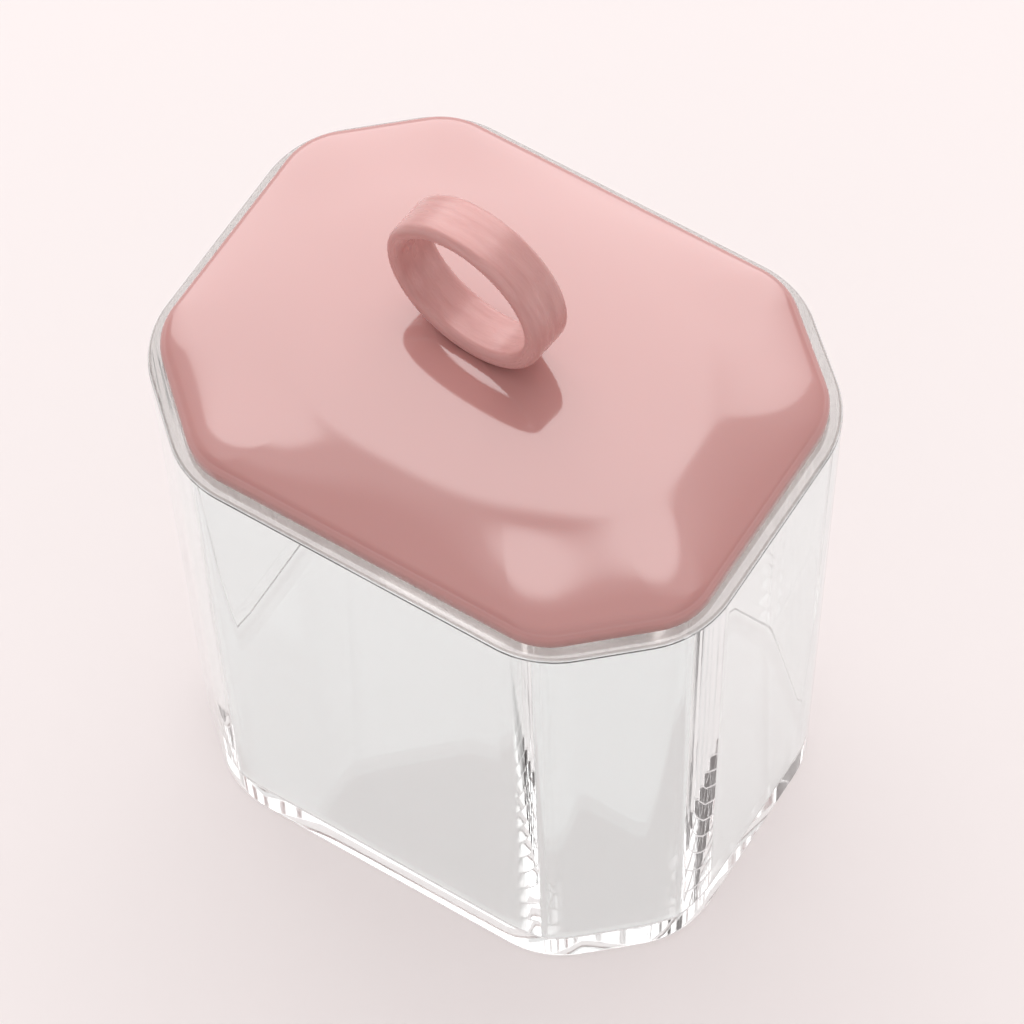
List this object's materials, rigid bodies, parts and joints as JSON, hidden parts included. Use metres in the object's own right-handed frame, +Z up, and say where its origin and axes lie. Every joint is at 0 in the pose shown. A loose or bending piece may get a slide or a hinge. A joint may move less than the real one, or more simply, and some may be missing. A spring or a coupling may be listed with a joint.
{
  "type": "cotton storage box",
  "caption": "Clear box with cut-back corners for cotton pads and swabs, with a domed lift-off lid and an upright ring handle.",
  "frame": {"origin": "middle of the face the box stands on", "axes": "+Z up, X along the box's long sides, Y along its short sides; the ring's plane is turned 6 degrees from X"},
  "size_m": [0.105, 0.082, 0.1516],
  "materials": {
    "clear_plastic": "clear moulded, polished",
    "lid_plastic": "opaque moulded, high gloss",
    "ring_plastic": "opaque moulded, satin gloss"
  },
  "bodies": {
    "box": {"box_body": "clear_plastic"},
    "lid_assembly": {"lid": "lid_plastic", "ring_handle": "ring_plastic"}
  },
  "joints": [
    {"name": "lid_lift", "type": "slide", "parent": "box", "child": "lid_assembly", "axis": [0, 0, 1], "range_m": [0, 0.12]}
  ]
}
